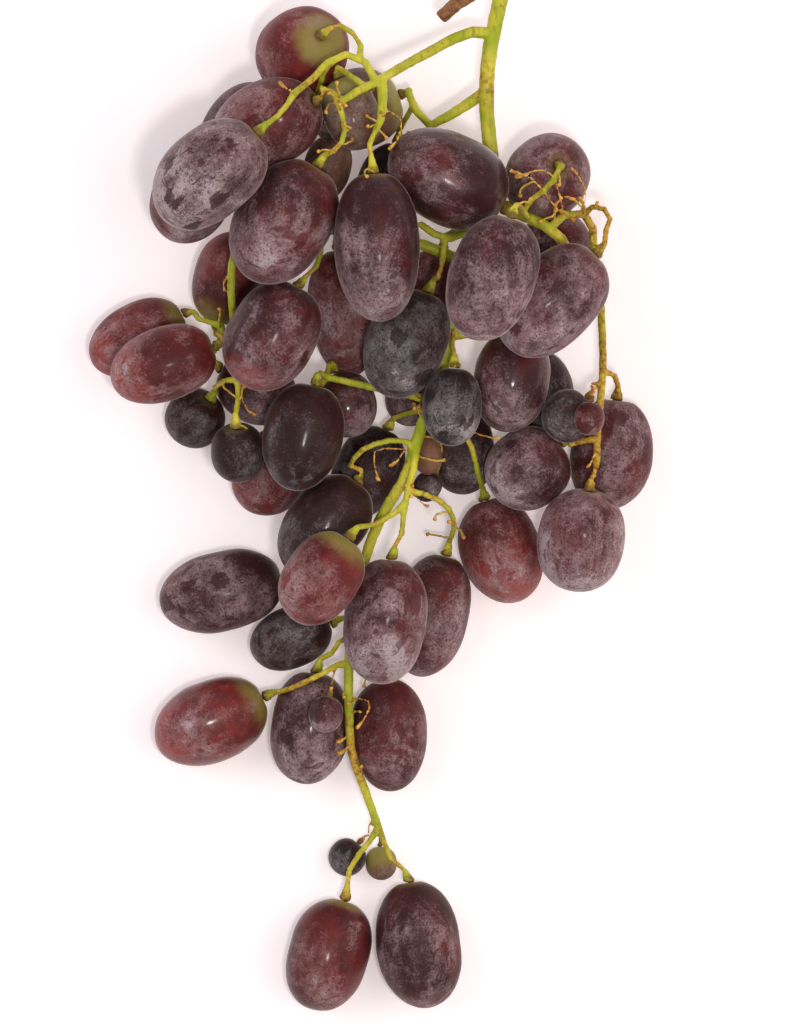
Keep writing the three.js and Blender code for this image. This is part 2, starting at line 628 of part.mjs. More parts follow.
const branches = drawBranches();
const berries = Object.entries(BERRIES).map(([name, row]) => berryOf(name, row));
settle(berries, beadsOf(branches));
bendBranches(branches, berries);
const stalks = berries.map((berry) => drawStalk(berry, branches, berries));
const threads = THREADS.map((drawn) => drawThread(drawn, branches, berries));

const bunch = new THREE.Group();
bunch.name = "bunch_of_grapes";
for (const berry of berries) {
  const mesh = berryMesh(berry);
  pressFlat(mesh);
  bunch.add(mesh);
}
bunch.add(stemMesh([...Object.values(branches), ...stalks, ...threads]));

// The origin is under the middle of the bunch, on the table
const middle = new THREE.Box3().setFromObject(bunch, true).getCenter(new THREE.Vector3());
bunch.position.set(-middle.x, -middle.y, 0);

export default bunch;
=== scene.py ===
"""A bunch of red-purple table grapes on a pale table, seen from straight above.

Each berry and the stem is rebuilt finer over its CAD node, and has a procedural skin.
"""

import json
import math

import bmesh
import bpy
import numpy as np
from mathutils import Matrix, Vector, noise
from mathutils.bvhtree import BVHTree


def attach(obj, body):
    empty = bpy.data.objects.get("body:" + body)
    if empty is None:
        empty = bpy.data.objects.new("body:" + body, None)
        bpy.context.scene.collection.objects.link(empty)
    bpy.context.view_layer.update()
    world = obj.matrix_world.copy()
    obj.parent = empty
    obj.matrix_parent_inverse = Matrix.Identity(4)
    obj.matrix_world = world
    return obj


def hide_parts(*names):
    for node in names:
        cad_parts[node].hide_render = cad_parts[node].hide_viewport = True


MM = 0.001

# Lengths are in millimetres here, and turned into metres where an object is made

# Camera: the picture's scale at mid height, its middle on the table, and how far off the lens is
PICTURE_HEIGHT = 1028  # pixels
MM_A_PIXEL = 0.23
PICTURE_MIDDLE = (6.57, -6.41)
MID_HEIGHT = 22.0
CAMERA_HEIGHT = 2600.0
SENSOR = 36.0

# Berries
BERRY_AROUND = 72  # corners round a berry
BERRY_ALONG = 52  # rings from its tip to its stalk end
OVAL_POWER = {"stalk end": 2.5, "tip": 2.2}  # 2 is an ellipsoid, and more is plumper
SMALL_WIDTH = 9.0  # the CAD solid of a narrower berry has corners at its full radius
WIDEST_CORNER = 0.9826  # share of the full radius that the widest corners of the others reach
GROWN = 0.12  # how far a fine berry stands outside the corners of its CAD solid
DIMPLE_DEPTH = 1.0
DIMPLE_SHARE = 0.17  # the dimple's width, as a share of the berry's
DENT = 0.52  # how uneven a berry's side is
DENT_WAVES = (0.07, 0.17)  # waves a millimetre of the slow dents and the quick ones
QUICK_DENTS = 0.3  # how deep the quick ones are beside the slow ones

# Stem
STEM_VOXEL = 0.33
STEM_SMOOTHING = 5  # rounds
STEM_SWELL = {"thread": 0.13, "stalk": 0.24}
STEM_KNOBBLE = 0.2
STEM_THICKEST = 6.0
THREAD_WIDTH = (0.55, 0.80)  # all is a withered thread under the first, and none is over the second
CAP_REACH = (1.4, 3.4)  # all is a flared end this near to a berry, and none is farther off than this
COLLAR_REACH = (1.0, 1.7)  # the same for the brown collar on it
DRY_ARM = {"above_y": 106.5, "left_of_x": 26.5}
OLD_BELOW_Y = (-60, -25)  # older under the first, and no older over the second
GOLDEN_RIGHT_OF_X = (30, 42)  # no more golden left of the first, and most so right of the second

# Withered threads: the places where tufts of them grow, and how many in each
TUFTS = (
    ((8.9, 19.8), 5), ((-9.1, 82.4), 7), ((3.1, 77.3), 7), ((49, 65), 5), ((44, 67), 4),
    ((11, 3), 5), ((17, -3), 4), ((-31, 19), 4), ((-2, -52), 5), ((36, 72), 3), ((-22, 33), 3),
)
TUFT_CORNERS = 1200  # a tuft grows from this many of the stem's corners that face up
THREAD_SEED = 11
THREAD_SIDES = 7
THREAD_STEP = 0.45  # from one ring of corners to the next
THREAD_STEPS = (7, 16)  # the fewest, and one over the most
THREAD_LEAN = 0.8  # how straight out of the stem it starts
THREAD_TURN = (0.6, 0.6, 0.35)  # how far it may start to the sides and up or down
THREAD_WANDER = 0.22
THREAD_RADIUS = 0.24
KNOB_RADIUS = 0.46

# Skins, as display colours: the flesh under the bloom, its paler cheek, its green end, and the bloom.
# Cover says how much bloom there is.
SKINS = {
    "skin_red": {
        "deep": (0.28, 0.075, 0.075), "cheek": (0.47, 0.14, 0.115), "green": (0.55, 0.49, 0.24),
        "bloom": (0.64, 0.50, 0.495), "cover": 0.30,
    },
    "skin_purple": {
        "deep": (0.20, 0.06, 0.065), "cheek": (0.37, 0.105, 0.10), "green": (0.44, 0.34, 0.16),
        "bloom": (0.635, 0.52, 0.525), "cover": 0.48,
    },
    "skin_dark": {
        "deep": (0.115, 0.045, 0.045), "cheek": (0.215, 0.08, 0.075), "green": (0.32, 0.27, 0.15),
        "bloom": (0.51, 0.475, 0.475), "cover": 0.32,
    },
    "skin_olive": {
        "deep": (0.36, 0.21, 0.17), "cheek": (0.53, 0.37, 0.27), "green": (0.58, 0.55, 0.27),
        "bloom": (0.60, 0.53, 0.49), "cover": 0.30,
    },
}
# How far the green runs down from the stalk end, as a share of the berry's length
GREEN_REACH = {
    "berry_shoulder_3": 0.095, "berry_low_1": 0.18, "berry_low_8": 0.21, "berry_left_2": 0.18,
    "berry_left_4": 0.24, "berry_tip_4": 0.7, "berry_left_1": 0.10, "berry_right_1": 0.01,
    "berry_tip_1": 0.08, "berry_low_4": 0.06, "berry_shoulder_4": 0.2, "berry_shoulder_5": 0.4,
    "berry_right_4": 0.02, "berry_right_11": 0.03, "berry_shoulder_7": 0.02,
}
GREEN_ELSEWHERE = 0.05
# How ripe a berry's flesh is, from 0 for deep to 1 for its cheek's colour.
# The others take it from their number.
RIPE = {
    "berry_middle_3": 1.0, "berry_left_3": 0.6, "berry_right_3": 0.9, "berry_right_1": 0.4,
    "berry_shoulder_7": 0.1, "berry_tip_1": 0.15, "berry_tip_2": 0.5, "berry_low_3": 0.7,
    "berry_left_1": 1.0, "berry_tip_4": 1.0, "berry_right_11": 1.0, "berry_shoulder_3": 0.8,
    "berry_low_1": 0.8, "berry_shoulder_8": 0.0, "berry_upper_2": 0.6, "berry_upper_1": 0.4,
    "berry_left_9": 1.0, "berry_low_7": 1.0, "berry_low_9": 0.7, "berry_upper_3": 0.2,
}
# How far a brighter red blush runs up from the tip, as a share of the berry's length
BLUSH = {
    "berry_right_1": 0.48, "berry_left_10": 0.20, "berry_left_3": 0.30, "berry_low_1": 0.30,
    "berry_left_2": 0.24, "berry_left_4": 0.5,
}
# Bloom that is thicker or thinner than on other berries of its skin, where it is 1
BLOOMY = {
    "berry_shoulder_8": 1.7, "berry_middle_11": 0.8, "berry_upper_2": 1.35, "berry_low_9": 1.3,
    "berry_shoulder_9": 1.1, "berry_left_10": 0.8, "berry_upper_1": 0.2, "berry_shoulder_7": 1.8,
    "berry_shoulder_3": 1.2, "berry_right_10": 1.3, "berry_low_7": 0.3, "berry_middle_9": 1.8,
    "berry_middle_10": 1.8, "berry_tip_1": 0.7, "berry_low_3": 0.5, "berry_left_9": -0.6,
    "berry_upper_3": 1.3, "berry_right_7": 0.6, "berry_right_3": 1.9, "berry_left_3": 1.6,
    "berry_right_1": 1.7, "berry_low_4": 0.8, "berry_left_2": 1.2, "berry_tip_2": 0.5,
    "berry_tip_4": 0.3, "berry_right_11": 1.8, "berry_middle_3": 2.2,
}
# The berries with a bright glint
SHINY = (
    "berry_upper_1", "berry_middle_6", "berry_right_7", "berry_shoulder_8", "berry_low_1",
)
BLUSH_COLOUR = (0.64, 0.25, 0.20)
DOT_COLOUR = (0.66, 0.46, 0.38)
SCAR_COLOUR = (0.20, 0.14, 0.10)
CRUST_COLOUR = (0.76, 0.70, 0.70)
# What the dust on a skin is made of, each with its share
DUST = {"patches": 0.72, "streaks": 0.28, "grain": 0.48, "cover": 0.20, "low end": 0.16, "blush": 0.07}
# Layers of bloom: the dust that each starts and is full at, and how much it covers
HAZE = (0.45, 0.64, 0.30)
THIN = (0.555, 0.580, 0.32)
THICK = (0.620, 0.645, 0.38)
CRUST = (0.69, 0.74, 0.55)

# The stalk's display colours; where there are two, they are mixed in patches
STALK = {
    "fresh": ((0.64, 0.67, 0.13), (0.84, 0.79, 0.26)),
    "fibre": (0.48, 0.47, 0.12),
    "gold": ((0.78, 0.60, 0.20), (0.50, 0.33, 0.12)),
    "thread": ((0.93, 0.72, 0.34), (0.68, 0.41, 0.17)),
    "marks": (0.58, 0.38, 0.14),
    "warts": (0.40, 0.27, 0.10),
    "collar": (0.43, 0.29, 0.13),
    "dead": ((0.60, 0.40, 0.24), (0.36, 0.22, 0.13)),
}

# Table: it glows a little, a painted light that lifts the shadow on it, warms the shade between the berries
# and lights them from below, so that it comes out overexposed. Sizes are in metres.
TABLE_SIZE = 6
TABLE_DOWN = 0.0002
TABLE_COLOUR = (0.97, 0.945, 0.95)
TABLE_GLOW = (1.0, 0.85, 0.80, 1.0)
TABLE_GLOW_STRENGTH = 0.30

# Lamps: place and width in metres, power, tint, and whether what is glossy mirrors it
LAMPS = {
    "key": ((0.10, -0.12, 1.3), 0.12, 4.7, (1.0, 0.97, 0.94), True),
    "right": ((1.0, 0.0, 1.0), 1.7, 11.2, (1.0, 0.94, 0.88), False),
    "left": ((-1.1, 0.5, 1.2), 1.7, 11.2, (0.86, 0.89, 1.0), False),
}
LAMPS_FACE = (0, 0, 0.02)
SKY = (0.93, 0.93, 1.0, 1)
SKY_STRENGTH = 0.32


def linear(display):
    """A display colour as linear red, green, blue and alpha."""
    low = [c / 12.92 if c <= 0.04045 else ((c + 0.055) / 1.055) ** 2.4 for c in display]
    return (*low, 1.0)


def smooth(low, high, x):
    """A smooth step of x from 0 at low to 1 at high."""
    t = np.clip((x - low) / (high - low), 0, 1)
    return t * t * (3 - 2 * t)


def vertex_rows(mesh, name):
    """The place or normal of each vertex, one in a row."""
    values = np.zeros(len(mesh.vertices) * 3)
    mesh.vertices.foreach_get(name, values)
    return values.reshape(-1, 3)


def corners_of(node):
    """A CAD node's distinct corners in millimetres, and its triangles between them."""
    mesh = node.data
    keys = np.round(vertex_rows(mesh, "co") / MM, 3)
    corners, index = np.unique(keys, axis=0, return_inverse=True)
    index = index.reshape(-1)
    mesh.calc_loop_triangles()
    faces = np.zeros(len(mesh.loop_triangles) * 3, int)
    mesh.loop_triangles.foreach_get("vertices", faces)
    return corners, index[faces].reshape(-1, 3)


def measure_berry(node):
    """The centre, the axis towards the stalk, the length and the width of a berry, from its CAD solid.

    Its stalk end is at the one corner that is sunk below those round it.
    """
    corners, faces = corners_of(node)
    a, b, c = (corners[faces[:, i]] for i in range(3))
    tilt = np.cross(b - a, c - a)
    bulge = []
    for corner in range(len(corners)):
        touching = (faces == corner).any(axis=1)
        around = np.unique(faces[touching])
        ring = corners[around[around != corner]].mean(axis=0)
        normal = tilt[touching].sum(axis=0)
        bulge.append((corners[corner] - ring) @ normal / np.linalg.norm(normal))
    sunk = int(np.argmin(bulge))
    around = np.unique(faces[(faces == sunk).any(axis=1)])
    rim = corners[around[around != sunk]].mean(axis=0)
    tip = corners[np.argmin((corners - rim) @ (rim - corners[sunk]))]
    axis = rim - tip
    length = np.linalg.norm(axis)
    axis /= length
    centre = (tip + rim) / 2
    out = corners - centre
    across = np.linalg.norm(out - np.outer(out @ axis, axis), axis=1).max()
    small = 2 * across < SMALL_WIDTH
    width = 2 * across / (1 if small else WIDEST_CORNER)
    return centre, axis, length + 2 * GROWN, width + 2 * GROWN


def add_attribute(mesh, name, values):
    """A number for each vertex, for the materials."""
    layer = mesh.attributes.new(name, "FLOAT", "POINT")
    layer.data.foreach_set("value", np.asarray(values, np.float32))


def add_place(mesh, name, values):
    """A vector for each vertex, for the materials."""
    layer = mesh.attributes.new(name, "FLOAT_VECTOR", "POINT")
    layer.data.foreach_set("vector", np.asarray(values, np.float32).reshape(-1))


def unevenness(points, seed, scale):
    """Shallow dents, from smooth noise at a scale in waves a millimetre."""
    shift = Vector((seed * 7.31, seed * 3.17, seed * 5.71))
    return np.array([noise.noise(Vector(p) * scale + shift) for p in points])


def berry_mesh(name, centre, axis, length, width, seed):
    """A smooth berry: a plump oval with a hollow at its stalk end, slow dents, and a flat where it lies."""
    around, along = BERRY_AROUND, BERRY_ALONG
    half, full = length / 2, width / 2
    turn = np.linspace(0, 2 * math.pi, around, endpoint=False)
    sweep = np.linspace(0, math.pi, along)[1:-1]
    level = -np.cos(sweep)
    power = np.where(level > 0, OVAL_POWER["stalk end"], OVAL_POWER["tip"])
    radius = full * np.sqrt(1 - np.abs(level) ** power)
    depth = min(DIMPLE_DEPTH, 0.12 * length)
    hollow = np.where(level > 0, depth * np.exp(-((radius / (DIMPLE_SHARE * full)) ** 2)), 0)
    height = half * level - hollow
    ring = np.stack([np.cos(turn), np.sin(turn)], axis=1)
    side = radius[:, None, None] * ring[None]
    local = np.concatenate([side, np.broadcast_to(height[:, None, None], (*side.shape[:2], 1))], axis=2)
    local = local.reshape(-1, 3)
    local = np.vstack([[0, 0, -half], local, [0, 0, half - depth]])
    out = local / np.array([full, full, half])
    out /= np.linalg.norm(out, axis=1)[:, None]
    slow, quick = (unevenness(local, seed, waves) for waves in DENT_WAVES)
    bumps = slow + QUICK_DENTS * quick
    bumps *= DENT * width / 18
    local += out * (bumps * (1 - smooth(0.9, 0.99, out[:, 2])))[:, None]
    up = Vector((0, 0, 1)) if abs(axis[2]) < 0.95 else Vector((1, 0, 0))
    z = Vector(axis)
    x = up.cross(z).normalized()
    y = z.cross(x)
    world = local @ np.array([x, y, z]) + centre
    world[:, 2] = np.maximum(world[:, 2], 0.0)
    rows = along - 2
    faces = []
    for j in range(around):
        k = (j + 1) % around
        faces.append((0, 1 + k, 1 + j))
        faces.append((1 + rows * around, 1 + (rows - 1) * around + j, 1 + (rows - 1) * around + k))
        for i in range(rows - 1):
            low, high = 1 + i * around, 1 + (i + 1) * around
            faces.append((low + j, low + k, high + k, high + j))
    mesh = bpy.data.meshes.new(name)
    mesh.from_pydata((world * MM).tolist(), [], faces)
    mesh.shade_smooth()
    share = local[:, 2] / length + 0.5
    add_attribute(mesh, "along", share)
    reach = GREEN_REACH.get(name, GREEN_ELSEWHERE)
    add_attribute(mesh, "green", np.clip((share - (1 - reach)) / max(reach, 0.01), -3, 1))
    blush = BLUSH.get(name, 0.001)
    add_attribute(mesh, "blush", smooth(-0.3, 0.8, (blush - share) / blush))
    add_attribute(mesh, "ripe", np.full(len(local), RIPE.get(name, (seed * 0.618) % 1)))
    gloss = 1.0 if name in SHINY else 0.6 * ((seed * 0.382) % 1) ** 2
    add_attribute(mesh, "gloss", np.full(len(local), gloss))
    add_attribute(mesh, "scar", np.arange(len(local)) == 0)
    add_attribute(mesh, "bloomy", np.full(len(local), BLOOMY.get(name, 1.0)))
    add_place(mesh, "skin_at", local + np.array([seed * 37.0, seed * 11.0, seed * 23.0]))
    return mesh


def link(name, mesh):
    """A new object of the scene."""
    thing = bpy.data.objects.new(name, mesh)
    bpy.context.scene.collection.objects.link(thing)
    return thing


class Nodes:
    """A short way to write a material's node tree. Each method but set gives back what it makes."""

    def __init__(self, name):
        self.material = bpy.data.materials.new(name)
        self.material.use_nodes = True
        self.tree = self.material.node_tree
        self.shader = self.tree.nodes["Principled BSDF"]

    def set(self, socket, value):
        """Links a value to a socket, or sets it."""
        if isinstance(value, bpy.types.NodeSocket):
            self.tree.links.new(value, socket)
        else:
            socket.default_value = value

    def node(self, kind, **inputs):
        """A node with some of its inputs set or linked."""
        made = self.tree.nodes.new(kind)
        for key, value in inputs.items():
            self.set(made.inputs[key.replace("_", " ")], value)
        return made

    def attribute(self, name, output="Fac"):
        """A number or vector that the mesh holds for each vertex."""
        made = self.tree.nodes.new("ShaderNodeAttribute")
        made.attribute_name = name
        return made.outputs[output]

    def math(self, operation, a, b=0.0, clamp=False):
        """One sum of two values."""
        made = self.tree.nodes.new("ShaderNodeMath")
        made.operation = operation
        made.use_clamp = clamp
        self.set(made.inputs[0], a)
        self.set(made.inputs[1], b)
        return made.outputs[0]

    def noise(self, at, scale, detail=3.0, rough=0.55, stretch=None, distortion=0.0):
        """Smooth noise from about 0 to 1 at a scale in waves a millimetre."""
        if stretch:
            at = self.stretched(at, stretch)
        made = self.node("ShaderNodeTexNoise", Vector=at, Scale=scale, Detail=detail, Roughness=rough)
        made.inputs["Distortion"].default_value = distortion
        return made.outputs["Fac"]

    def stretched(self, at, factors):
        """A place scaled along each axis."""
        made = self.node("ShaderNodeMapping", Vector=at)
        made.inputs["Scale"].default_value = factors
        return made.outputs[0]

    def spots(self, at, scale, low, high, ragged=0.0):
        """1 inside scattered spots, 0 between them; a ragged edge comes from a noise about 0."""
        made = self.node("ShaderNodeTexVoronoi", Vector=at, Scale=scale)
        return self.ramp(self.math("ADD", made.outputs["Distance"], ragged), low, high, 1.0, 0.0)

    def ramp(self, value, low, high, start=0.0, end=1.0):
        """A smooth ramp of a value between two limits."""
        made = self.tree.nodes.new("ShaderNodeMapRange")
        made.interpolation_type = "SMOOTHSTEP"
        for key, number in zip(("Value", "From Min", "From Max", "To Min", "To Max"),
                               (value, low, high, start, end)):
            self.set(made.inputs[key], number)
        return made.outputs[0]

    def layer(self, value, low, high, most):
        """A cover that grows smoothly from none at the low value to the most at the high one."""
        return self.ramp(value, low, high, 0.0, most)

    def patches(self, value, low, high, pair):
        """Two display colours mixed in patches by a value."""
        return self.mix(self.ramp(value, low, high), linear(pair[0]), linear(pair[1]))

    def mix(self, factor, a, b):
        """Two colours mixed."""
        made = self.tree.nodes.new("ShaderNodeMix")
        made.data_type = "RGBA"
        self.set(made.inputs[0], factor)
        self.set(made.inputs[6], a)
        self.set(made.inputs[7], b)
        return made.outputs[2]

    def bump(self, height, strength, distance):
        """A normal that a height tips; the distance is in metres."""
        made = self.node("ShaderNodeBump", Height=height, Strength=strength, Distance=distance)
        return made.outputs[0]


def skin_material(slot, look):
    """A grape's skin: red-brown flesh under a dusty bloom that is patchy, streaked and rubbed."""
    n = Nodes(slot)
    at = n.attribute("skin_at", "Vector")
    riper = n.math("MULTIPLY", n.math("SUBTRACT", n.attribute("ripe"), 0.5), 1.1)
    ripe = n.math("ADD", n.ramp(n.noise(at, 0.08, 3.0), 0.36, 0.66), riper, clamp=True)
    flesh = n.mix(ripe, linear(look["deep"]), linear(look["cheek"]))
    mottle = n.ramp(n.noise(at, 0.30, 7.0, 0.72), 0.38, 0.62, 0.0, 0.6)
    flesh = n.mix(mottle, flesh, linear(look["deep"]))
    edge = n.math("ADD", n.attribute("green"), n.math("MULTIPLY", n.noise(at, 0.16, 5.0, 0.6), 0.9))
    flesh = n.mix(n.ramp(edge, 0.25, 1.3), flesh, linear(look["green"]))
    flush = n.ramp(n.noise(at, 0.2, 6.0, 0.65), 0.36, 0.56, 0.15, 0.75)
    blush = n.math("MULTIPLY", n.attribute("blush"), flush)
    flesh = n.mix(blush, flesh, linear(BLUSH_COLOUR))
    dots = n.ramp(n.noise(at, 1.7, 2.0), 0.66, 0.74)
    flesh = n.mix(n.math("MULTIPLY", dots, 0.3), flesh, linear(DOT_COLOUR))

    patches = n.noise(at, 0.088, 9.0, 0.66, distortion=0.5)
    streaks = n.noise(at, 0.34, 7.0, 0.66, (1.0, 1.0, 0.25))
    grain = n.noise(at, 2.1, 6.0, 0.78)
    cover = n.math("MULTIPLY", n.attribute("bloomy"), look["cover"] * DUST["cover"])
    low_end = n.math("MULTIPLY", n.math("SUBTRACT", 0.5, n.attribute("along")), DUST["low end"])
    slow = n.math("MULTIPLY", patches, DUST["patches"])
    dust = n.math("ADD", slow, n.math("MULTIPLY", streaks, DUST["streaks"]))
    dust = n.math("ADD", dust, n.math("MULTIPLY", n.math("SUBTRACT", grain, 0.5), DUST["grain"]))
    dust = n.math("ADD", dust, n.math("ADD", cover, low_end))
    dust = n.math("SUBTRACT", dust, n.math("MULTIPLY", blush, DUST["blush"]))
    haze, thin, thick = (n.layer(dust, *layer) for layer in (HAZE, THIN, THICK))
    film = n.math("ADD", haze, n.math("ADD", thin, thick))
    depth = n.ramp(n.noise(at, 0.22, 7.0, 0.66), 0.38, 0.60, 0.45, 1.0)
    specks = n.ramp(n.noise(at, 1.6, 3.0, 0.6), 0.57, 0.63)
    scratches = n.ramp(n.noise(at, 0.5, 3.0, 0.5, (0.35, 1.6, 0.5)), 0.62, 0.65)
    pores = n.spots(at, 0.8, 0.13, 0.22)
    gone = n.math("MAXIMUM", n.math("MAXIMUM", specks, scratches), pores)
    ragged = n.math("MULTIPLY", n.math("SUBTRACT", streaks, 0.5), 0.9)
    rubbed = n.spots(at, 0.105, 0.21, 0.25, ragged)
    lost = n.math("MAXIMUM", n.math("MULTIPLY", gone, 0.7), n.math("MULTIPLY", rubbed, 0.8))
    kept = n.math("SUBTRACT", 1.0, lost)
    bloom = n.math("MULTIPLY", n.math("MULTIPLY", film, depth), kept)
    veil = n.math("ADD", n.math("MULTIPLY", bloom, 0.80), 0.03)
    colour = n.mix(veil, flesh, linear(look["bloom"]))
    crust = n.math("MULTIPLY", n.layer(dust, *CRUST), kept)
    colour = n.mix(crust, colour, linear(CRUST_COLOUR))
    colour = n.mix(n.attribute("scar"), colour, linear(SCAR_COLOUR))
    n.set(n.shader.inputs["Base Color"], colour)
    dull = n.math("MULTIPLY", n.math("SUBTRACT", 1.0, n.attribute("gloss")), 0.14)
    rough = n.math("ADD", n.math("ADD", 0.36, dull), n.math("MULTIPLY", bloom, 0.3))
    n.set(n.shader.inputs["Roughness"], rough)
    n.set(n.shader.inputs["Normal"], n.bump(n.math("ADD", grain, bloom), 0.2, 0.0002))
    bare = n.math("MULTIPLY", n.math("SUBTRACT", 1.0, film), 0.42)
    n.set(n.shader.inputs["Coat Weight"], n.math("MULTIPLY", bare, n.attribute("gloss")))
    n.shader.inputs["Coat Roughness"].default_value = 0.14
    n.shader.inputs["Subsurface Weight"].default_value = 0.12
    n.shader.inputs["Subsurface Radius"].default_value = (1.0, 0.35, 0.2)
    n.shader.inputs["Subsurface Scale"].default_value = 1.5 * MM
    n.shader.inputs["Sheen Weight"].default_value = 0.55
    n.shader.inputs["Sheen Roughness"].default_value = 0.19
    n.shader.inputs["Sheen Tint"].default_value = linear((0.95, 0.86, 0.86))
    n.shader.inputs["IOR"].default_value = 1.42
    n.shader.inputs["Specular IOR Level"].default_value = 0.25
    return n.material


def stem_material():
    """The stalk: yellow-green and streaked, golden where it is old, orange where it is a thread.

    A flared end has brown warts and a collar, and the dry arm is dead brown.
    """
    n = Nodes("stalk")
    at = n.attribute("stem_at", "Vector")
    fresh = n.patches(n.noise(at, 0.11, 3.0), 0.35, 0.65, STALK["fresh"])
    fibre = n.noise(at, 1.1, 5.0, 0.65, (1.0, 0.14, 1.0))
    fresh = n.mix(n.ramp(fibre, 0.48, 0.70, 0.0, 0.6), fresh, linear(STALK["fibre"]))
    mottle = n.noise(at, 0.8, 6.0, 0.7)
    gold = n.patches(mottle, 0.4, 0.66, STALK["gold"])
    age = n.math("ADD", n.attribute("old"), n.math("MULTIPLY", n.math("SUBTRACT", mottle, 0.5), 1.2))
    colour = n.mix(n.ramp(age, 0.25, 0.85), fresh, gold)
    thread = n.patches(mottle, 0.36, 0.62, STALK["thread"])
    colour = n.mix(n.attribute("thread"), colour, thread)
    marks = n.ramp(n.noise(at, 0.28, 3.0, 0.6), 0.65, 0.70, 0.0, 0.6)
    colour = n.mix(marks, colour, linear(STALK["marks"]))
    warts = n.math("MULTIPLY", n.spots(at, 1.6, 0.12, 0.36), n.attribute("cap"))
    colour = n.mix(n.math("MULTIPLY", warts, 0.75), colour, linear(STALK["warts"]))
    collar = n.math("MULTIPLY", n.attribute("collar"), n.ramp(mottle, 0.3, 0.5, 0.45, 0.9))
    colour = n.mix(collar, colour, linear(STALK["collar"]))
    dead = n.patches(mottle, 0.4, 0.66, STALK["dead"])
    colour = n.mix(n.attribute("dry"), colour, dead)
    n.set(n.shader.inputs["Base Color"], colour)
    n.set(n.shader.inputs["Roughness"], n.math("ADD", 0.42, n.math("MULTIPLY", mottle, 0.2)))
    height = n.math("ADD", n.math("ADD", fibre, mottle), warts)
    n.set(n.shader.inputs["Normal"], n.bump(height, 0.4, 0.00025))
    n.shader.inputs["Subsurface Weight"].default_value = 0.15
    n.shader.inputs["Subsurface Radius"].default_value = (0.8, 1.0, 0.3)
    n.shader.inputs["Subsurface Scale"].default_value = 0.8 * MM
    n.shader.inputs["Specular IOR Level"].default_value = 0.35
    return n.material


def through(tree, point, outward):
    """How thick a closed surface is under one of its points."""
    hit = tree.ray_cast(point - outward * 0.05, -outward, STEM_THICKEST)
    return hit[3] if hit[3] is not None else STEM_THICKEST


def fine_stem(node, berries):
    """The stem rebuilt from its CAD solid: rounded, swollen a little, and knobbly at the berry ends."""
    mesh = node.data.copy()
    mesh.name = "stem_fine"
    stem = link("stem_fine", mesh)
    builder = bmesh.new()
    builder.from_mesh(mesh)
    bmesh.ops.remove_doubles(builder, verts=builder.verts, dist=1e-6)
    builder.to_mesh(mesh)
    builder.free()
    remesh = stem.modifiers.new("remesh", "REMESH")
    remesh.mode = "VOXEL"
    remesh.voxel_size = STEM_VOXEL * MM
    even = stem.modifiers.new("even", "SMOOTH")
    even.iterations = STEM_SMOOTHING
    even.factor = 0.5
    apply_modifiers(stem)
    mesh = stem.data
    co = vertex_rows(mesh, "co") / MM
    normals = vertex_rows(mesh, "normal")
    ends = [centre + axis * length / 2 for centre, axis, length, width in berries]
    near = np.min([np.linalg.norm(co - end, axis=1) for end in ends], axis=0)
    cap = 1 - smooth(*CAP_REACH, near)
    knobs = unevenness(co, 0, 0.9) + 0.6 * cap * unevenness(co, 1, 2.0)
    tree = BVHTree.FromPolygons(co.tolist(), [list(face.vertices) for face in mesh.polygons])
    widths = np.array([through(tree, Vector(p), Vector(v)) for p, v in zip(co, normals)])
    thread = 1 - smooth(*THREAD_WIDTH, widths)
    slow = unevenness(co, 2, 0.07)
    above = smooth(-0.5, 0.5, co[:, 1] - DRY_ARM["above_y"])
    dry = above * smooth(-1, 1, DRY_ARM["left_of_x"] - co[:, 0])
    swell = STEM_SWELL["stalk"] + (STEM_SWELL["thread"] - STEM_SWELL["stalk"]) * thread
    swell += STEM_KNOBBLE * knobs * (0.45 + cap)
    co += normals * swell[:, None]
    co[:, 2] = np.maximum(co[:, 2], 0)
    mesh.vertices.foreach_set("co", (co * MM).reshape(-1))
    mesh.shade_smooth()
    add_place(mesh, "stem_at", co)
    add_attribute(mesh, "cap", cap)
    add_attribute(mesh, "collar", 1 - smooth(*COLLAR_REACH, near))
    lower = 1 - smooth(*OLD_BELOW_Y, co[:, 1])
    golden = smooth(*GOLDEN_RIGHT_OF_X, co[:, 0])
    add_attribute(mesh, "old", np.clip(0.12 + slow * 0.8 + 0.3 * lower + 0.5 * golden, 0, 1))
    add_attribute(mesh, "thread", thread)
    add_attribute(mesh, "dry", dry)
    return stem


def thread_path(start, normal, rng):
    """A wandering line out from the stem, rooted a little inside it."""
    way = normal * THREAD_LEAN + rng.normal(size=3) * THREAD_TURN
    points = [start - normal * 0.3]
    for step in range(rng.integers(*THREAD_STEPS)):
        way = way / np.linalg.norm(way) + rng.normal(size=3) * THREAD_WANDER
        points.append(points[-1] + way / np.linalg.norm(way) * THREAD_STEP)
    points = np.array(points)
    points[:, 2] = np.maximum(points[:, 2], KNOB_RADIUS)
    return points


